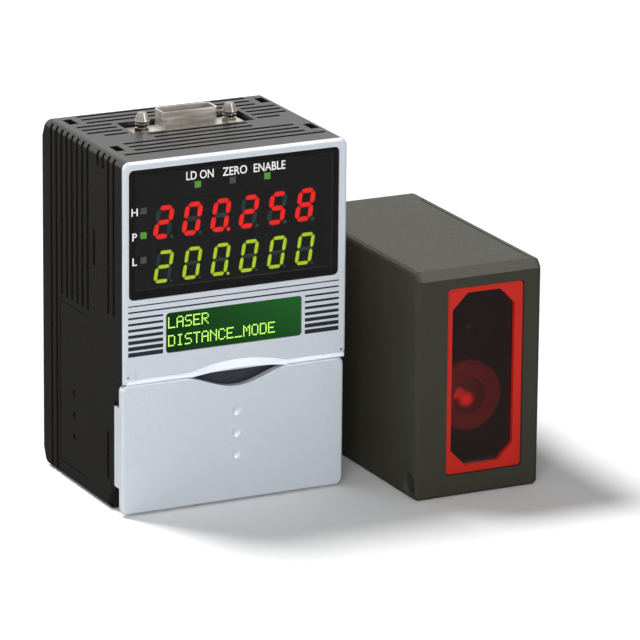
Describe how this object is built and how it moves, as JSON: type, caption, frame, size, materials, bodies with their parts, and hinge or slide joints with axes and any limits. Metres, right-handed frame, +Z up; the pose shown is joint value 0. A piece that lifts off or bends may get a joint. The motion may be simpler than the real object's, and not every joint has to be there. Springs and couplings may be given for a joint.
{
  "type": "laser displacement sensor",
  "caption": "Laser displacement sensor set: ribbed display controller with red and green readouts and hinged key flap, beside its box-shaped measuring head with red-framed window.",
  "frame": {"origin": "bottom centre of the bounding box of the set, on the standing plane", "axes": "+X from the controller to the head, +Y from the fronts to the backs, +Z up"},
  "size_m": [0.105, 0.0716, 0.0936],
  "materials": {
    "case_plastic": "fine textured black moulding",
    "latch_plastic": "plain moulding",
    "silver_paint": "satin silver paint on moulded plastic",
    "stripe_ink": "printed ink",
    "smoked_window": "smoked clear acrylic",
    "module_face": "dark readout face",
    "red_light": "lit red segments",
    "green_light": "lit green segments",
    "dark_segment": "unlit segments",
    "lamp_green": "lit lamps",
    "lamp_grey": "unlit lamps",
    "lcd_green": "backlit character display",
    "board_green": "circuit board",
    "panel_plastic": "dark grey key panel",
    "key_plastic": "grey keys",
    "knob_plastic": "white switch knobs",
    "nickel": "nickel plate",
    "screw_steel": "zinc plate",
    "black_insulator": "black connector plastic",
    "link_plastic": "pale connector plastic",
    "coil_core": "ferrite core and winding",
    "capacitor_sleeve": "sleeved cans",
    "head_paint": "dark paint on die-cast alloy",
    "seal_rubber": "flat seal",
    "frame_red": "red moulding",
    "pane_glass": "red filter glass",
    "optics_black": "flat black",
    "barrel_alloy": "turned alloy",
    "lens_glass": "coated lens",
    "diode_gold": "gold plated can"
  },
  "bodies": {
    "sensor_set": {"main_case": "case_plastic", "rear_cover": "case_plastic", "rear_screws": "screw_steel", "port_cover_left": "case_plastic", "port_cover_right": "case_plastic", "link_socket_left": "link_plastic", "link_socket_right": "link_plastic", "front_bezel": "silver_paint", "bezel_stripes": "stripe_ink", "display_window": "smoked_window", "display_mask": "optics_black", "display_module": "module_face", "red_segments": "red_light", "green_segments": "green_light", "unlit_segments": "dark_segment", "lit_lamps": "lamp_green", "unlit_lamps": "lamp_grey", "lcd_module": "lcd_green", "display_board": "board_green", "key_panel": "panel_plastic", "key_board": "board_green", "key_contacts": "black_insulator", "service_socket": "nickel", "connector_shell": "nickel", "connector_block": "black_insulator", "lock_posts": "nickel", "main_board": "board_green", "processor": "black_insulator", "power_board": "board_green", "power_coil": "coil_core", "capacitors": "capacitor_sleeve", "head_socket": "black_insulator", "cable_bush": "case_plastic", "head_housing": "head_paint", "head_side_cover": "head_paint", "side_seal": "seal_rubber", "side_screws": "screw_steel", "window_frame": "frame_red", "window_pane": "pane_glass", "optics_base": "optics_black", "receiver_barrel": "barrel_alloy", "receiver_lens": "lens_glass", "laser_barrel": "barrel_alloy", "laser_lens": "lens_glass", "laser_diode": "diode_gold", "image_sensor": "black_insulator", "sensor_board": "board_green", "head_board": "board_green", "head_gland": "case_plastic"},
    "flap": {"key_flap": "silver_paint"},
    "up_key": {"key_up": "key_plastic"},
    "down_key": {"key_down": "key_plastic"},
    "left_key": {"key_left": "key_plastic"},
    "right_key": {"key_right": "key_plastic"},
    "set_key": {"key_set": "key_plastic"},
    "escape_key": {"key_escape": "key_plastic"},
    "mode_knob": {"mode_switch": "knob_plastic"},
    "range_knob": {"range_switch": "knob_plastic"},
    "rail_latch": {"din_latch": "latch_plastic"}
  },
  "joints": [
    {"name": "flap_hinge", "type": "hinge", "parent": "sensor_set", "child": "flap", "pos_m": [-0.0224, -0.0125, 0.0042], "axis": [1, 0, 0], "range_deg": [0, 90]},
    {"name": "up_press", "type": "slide", "parent": "sensor_set", "child": "up_key", "axis": [0, 1, 0], "range_m": [0, 0.0005], "stiffness_N_per_m": 400},
    {"name": "down_press", "type": "slide", "parent": "sensor_set", "child": "down_key", "axis": [0, 1, 0], "range_m": [0, 0.0005], "stiffness_N_per_m": 400},
    {"name": "left_press", "type": "slide", "parent": "sensor_set", "child": "left_key", "axis": [0, 1, 0], "range_m": [0, 0.0005], "stiffness_N_per_m": 400},
    {"name": "right_press", "type": "slide", "parent": "sensor_set", "child": "right_key", "axis": [0, 1, 0], "range_m": [0, 0.0005], "stiffness_N_per_m": 400},
    {"name": "set_press", "type": "slide", "parent": "sensor_set", "child": "set_key", "axis": [0, 1, 0], "range_m": [0, 0.0005], "stiffness_N_per_m": 400},
    {"name": "escape_press", "type": "slide", "parent": "sensor_set", "child": "escape_key", "axis": [0, 1, 0], "range_m": [0, 0.0005], "stiffness_N_per_m": 400},
    {"name": "mode_slide", "type": "slide", "parent": "sensor_set", "child": "mode_knob", "axis": [1, 0, 0], "range_m": [-0.0022, 0.0022]},
    {"name": "range_slide", "type": "slide", "parent": "sensor_set", "child": "range_knob", "axis": [1, 0, 0], "range_m": [0, 0.0044]},
    {"name": "latch_slide", "type": "slide", "parent": "sensor_set", "child": "rail_latch", "axis": [0, 0, -1], "range_m": [0, 0.0035], "stiffness_N_per_m": 300}
  ]
}
